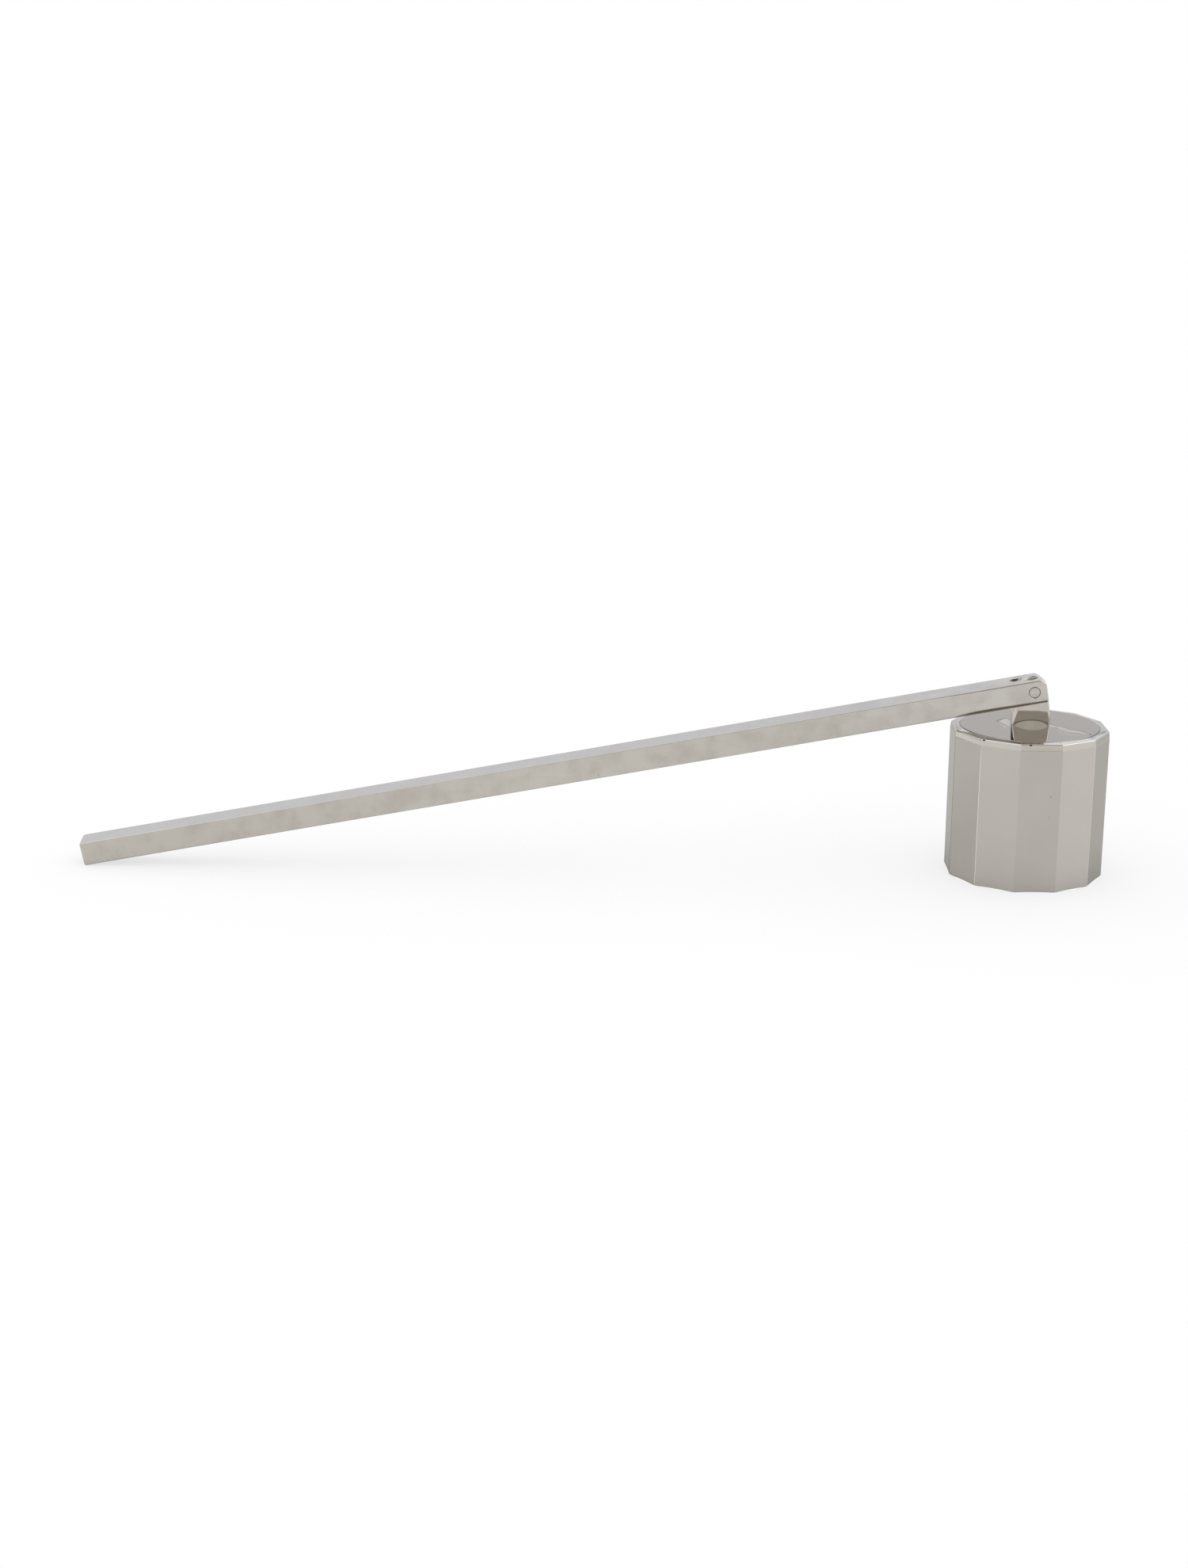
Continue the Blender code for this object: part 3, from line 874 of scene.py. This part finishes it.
METALS = {
    "bell_nickel": dict(
        colour=NICKEL, stain=BELL_STAIN, roughness=0.06, haze=0.05, clouds=60.0,
        lines_run=UPRIGHT, line_depth=0.0002 * MM, pit_share=0.03,
        spots=[(BELL_MIDDLE.x + x, y, SHOULDER_HEIGHT - BAND_INSET) for x, y in DARK_REFLECTION_SPOTS],
    ),
    "disc_nickel": dict(
        colour=DISC_MIRROR, stain=DISC_MIRROR, roughness=0.005, haze=0.005, clouds=150.0,
        lines_run=ALL_WAYS, line_depth=0.0, pit_share=0.03,
    ),
    "lug_nickel": dict(
        colour=NICKEL, stain=NICKEL_STAIN, roughness=0.004, haze=0.004, clouds=300.0,
        lines_run=LUG_LINES, line_depth=0.0, pit_share=0.03,
    ),
    "bar_nickel": dict(
        colour=LIGHTENED_BAR_NICKEL, stain=NICKEL_STAIN, roughness=0.10, haze=0.08, clouds=130.0,
        lines_run=ALONG_BAR, line_depth=0.0004 * MM, pit_share=0.08,
    ),
    "pin_nickel": dict(
        colour=NICKEL, stain=NICKEL_STAIN, roughness=0.10, haze=0.05, clouds=400.0,
        lines_run=ALL_WAYS, line_depth=0.0, pit_share=0.05,
    ),
    "inner_steel": dict(
        colour=WASHER_STEEL, stain=NICKEL_STAIN, roughness=0.3, haze=0.1, clouds=200.0,
        lines_run=ALL_WAYS, line_depth=0.001 * MM, pit_share=0.05,
    ),
    "bell_inside": dict(
        colour=INSIDE_STEEL, stain=NICKEL_STAIN, roughness=0.22, haze=0.1, clouds=90.0,
        lines_run=UPRIGHT, line_depth=0.0008 * MM, pit_share=0.05,
    ),
}


# ---------------------------------------------------------------- studio


def painted_table_light(nodes, turn, away):
    """Painted light and shade in the table's colour, by direction of sight and by distance from the bell's
    axis, with a painted pool of light to the left of the bell.
    """
    near = nodes.ramp(turn, *ALL_ROUND, FLOOR_LIGHT_TONES, FLOOR_TINT)
    inside = nodes.remap(away, *LEFT_LIGHT_POOL_FADE, 1.0, 0.0, soft=True)
    left_light_pool = nodes.math("MULTIPLY", nodes.window(turn, *LEFT_LIGHT_POOL_WINDOW), inside)
    near = nodes.mix(left_light_pool, near, LEFT_LIGHT_POOL_COLOUR)
    outside = nodes.remap(away, *FRONT_LIGHT_PATCH_START, soft=True)
    front_light_patch = nodes.math("MULTIPLY", nodes.window(turn, *FRONT_LIGHT_PATCH_WINDOW), outside)
    near = nodes.mix(front_light_patch, near, FRONT_LIGHT_PATCH_COLOUR)
    far = nodes.mix(nodes.window(turn, *FAR_FRONT_WINDOW), FAR_COLOUR, FAR_FRONT_COLOUR)
    return nodes.mix(nodes.remap(away, *FAR_START, soft=True), near, far)


def make_floor():
    """
    A pale table. What polished metal sees of it is painted light and shade, toned by direction as paper lit
    unevenly by a light tent.
    To the camera it is as white as the tent and shows only the soft shadow, so the tent's white runs on
    below the object, as in a cut-out photo, and the underside can be looked at.
    """
    shape = bmesh.new()
    bmesh.ops.create_grid(shape, x_segments=2, y_segments=2, size=FLOOR_SIZE / 2)
    mesh = bpy.data.meshes.new("studio_floor")
    shape.to_mesh(mesh)
    shape.free()
    floor = bpy.data.objects.new("studio_floor", mesh)
    bpy.context.scene.collection.objects.link(floor)
    floor.location.z = -FLOOR_DROP
    material = bpy.data.materials.new("pale_floor")
    material.use_nodes = True
    nodes = Nodes(material.node_tree)
    shader = material.node_tree.nodes["Principled BSDF"]
    geometry = nodes.add("ShaderNodeNewGeometry").outputs
    place = nodes.split(nodes.place())
    x = nodes.math("SUBTRACT", place["X"], BELL_MIDDLE.x)
    squares = nodes.math("ADD", nodes.math("MULTIPLY", x, x), nodes.math("MULTIPLY", place["Y"], place["Y"]))
    away = nodes.math("SQRT", squares)
    sight = nodes.split(geometry["Incoming"])
    turn = nodes.math("DEGREES", nodes.math("ARCTAN2", nodes.math("MULTIPLY", sight["X"], -1.0), sight["Y"]))
    nodes.feed(shader, "Base Color", painted_table_light(nodes, turn, away))
    shader.inputs["Roughness"].default_value = 1.0
    shader.inputs["Specular IOR Level"].default_value = 0.0
    sky = nodes.add("ShaderNodeAmbientOcclusion", {"Distance": SHADOW_REACH}, samples=SHADOW_SAMPLES)
    shade = nodes.remap(sky.outputs["AO"], 0.0, 1.0, SHADOW_TONE, 1.0)
    under_bell = nodes.math("LESS_THAN", away, BELL_APOTHEM)
    open_below = nodes.math("MAXIMUM", under_bell, geometry["Backfacing"])
    shade = nodes.mix(nodes.math("MAXIMUM", shade, open_below), BLACK, WHITE)
    glass = nodes.add("ShaderNodeBsdfTransparent", {"Color": shade}).outputs[0]
    seen = nodes.add("ShaderNodeLightPath").outputs["Is Camera Ray"]
    clear = nodes.math("MAXIMUM", seen, open_below)
    both = nodes.add("ShaderNodeMixShader", {0: clear, 1: shader.outputs[0], 2: glass}).outputs[0]
    nodes.feed(material.node_tree.nodes["Material Output"], "Surface", both)
    mesh.materials.append(material)


def make_world():
    """A soft light tent: even for the table, with panels, seams and a dark camera side for mirrors."""
    world = bpy.data.worlds.new("soft_tent")
    bpy.context.scene.world = world
    world.use_nodes = True
    world.cycles.sampling_method = "NONE"
    nodes = Nodes(world.node_tree)
    background = world.node_tree.nodes["Background"]
    direction = nodes.add("ShaderNodeTexCoord").outputs["Generated"]
    parts = nodes.split(direction)
    forward = nodes.math("MULTIPLY", parts["Y"], -1.0)
    turn = nodes.math("DEGREES", nodes.math("ARCTAN2", parts["X"], forward))
    height = nodes.math("DEGREES", nodes.math("ARCSINE", parts["Z"]))
    walls = nodes.ramp(height, *TENT_HEIGHTS, WALL_TONES, WALL_TINT)
    front = nodes.ramp(height, *TENT_HEIGHTS, FRONT_TONES, FRONT_TINT)
    tent = nodes.mix(nodes.window(turn, *FRONT_WINDOW), walls, front)
    for turn_window, height_window, colour in LIT_PANELS:
        lit = nodes.math("MULTIPLY", nodes.window(turn, *turn_window), nodes.window(height, *height_window))
        tent = nodes.mix(lit, tent, colour)
    tent = add_opening(nodes, tent, turn, height)
    path = nodes.add("ShaderNodeLightPath").outputs
    seen = nodes.mix(path["Is Camera Ray"], (TENT_LEVEL, TENT_LEVEL, TENT_LEVEL, 1), WHITE)
    nodes.feed(background, "Color", nodes.mix(path["Is Glossy Ray"], seen, tent))
    background.inputs["Strength"].default_value = 1.0


def add_opening(nodes, tent, turn, height):
    """Lights the camera's opening in the tent, with a dark rim under its lower half."""
    opening = nodes.math("ADD", ellipse_place(nodes, turn, 0), ellipse_place(nodes, height, 1))
    middle = OPENING_CENTRE[1]
    lower_half = nodes.remap(height, middle - OPENING_RIM_FADE, middle + OPENING_RIM_FADE, 1.0, 0.0)
    rim = nodes.math("MULTIPLY", nodes.remap(opening, *OPENING_RIM, 1.0, 0.0), lower_half)
    tent = nodes.mix(rim, tent, OPENING_RIM_COLOUR)
    return nodes.mix(nodes.remap(opening, *OPENING_EDGE, 1.0, 0.0), tent, OPENING_COLOUR)


def ellipse_place(nodes, angle, axis):
    """The squared distance from the camera opening's centre along one axis, as a share of its half size."""
    share = nodes.math("DIVIDE", nodes.math("SUBTRACT", angle, OPENING_CENTRE[axis]), OPENING_HALF[axis])
    return nodes.math("MULTIPLY", share, share)


def make_softbox():
    """A weak light from above, aimed at the origin; the metal doesn't mirror it."""
    data = bpy.data.lights.new("overhead_softbox", "AREA")
    data.shape = "RECTANGLE"
    data.size = SOFTBOX_SIZE
    data.size_y = SOFTBOX_SIZE
    data.energy = SOFTBOX_POWER
    light = bpy.data.objects.new("overhead_softbox", data)
    bpy.context.scene.collection.objects.link(light)
    light.location = SOFTBOX_PLACE
    light.rotation_mode = "QUATERNION"
    light.rotation_quaternion = (-Vector(SOFTBOX_PLACE)).to_track_quat("-Z", "Y")
    light.visible_glossy = False


def make_camera():
    data = bpy.data.cameras.new("camera")
    data.lens = CAMERA_LENS
    data.sensor_width = CAMERA_SENSOR
    camera = bpy.data.objects.new("camera", data)
    bpy.context.scene.collection.objects.link(camera)
    across = math.cos(CAMERA_ELEVATION)
    x = math.sin(CAMERA_AZIMUTH) * across
    y = -math.cos(CAMERA_AZIMUTH) * across
    back = Vector((x, y, math.sin(CAMERA_ELEVATION)))
    camera.location = CAMERA_TARGET + back * CAMERA_DISTANCE
    camera.rotation_mode = "QUATERNION"
    camera.rotation_quaternion = (-back).to_track_quat("-Z", "Y")
    data.clip_start = CAMERA_CLIP
    bpy.context.scene.camera = camera


def set_view():
    view = bpy.context.scene.view_settings
    view.view_transform = "Standard"
    view.look = "None"


# ---------------------------------------------------------------- build


def build():
    metals = {name: plated_metal(name, **finish) for name, finish in METALS.items()}
    turn = Matrix.Translation(PIVOT) @ Matrix.Rotation(-bar_slope(), 4, "Y")
    make_bell(metals["bell_nickel"], metals["bell_inside"])
    make_disc(metals["disc_nickel"])
    make_lug(metals["lug_nickel"])
    make_bar(metals["bar_nickel"], turn)
    make_pin(metals["pin_nickel"], turn)
    soften_cad_node("lug_washer", WASHER_EDGE, metals["inner_steel"])
    make_floor()
    make_world()
    make_softbox()
    make_camera()
    set_view()


build()
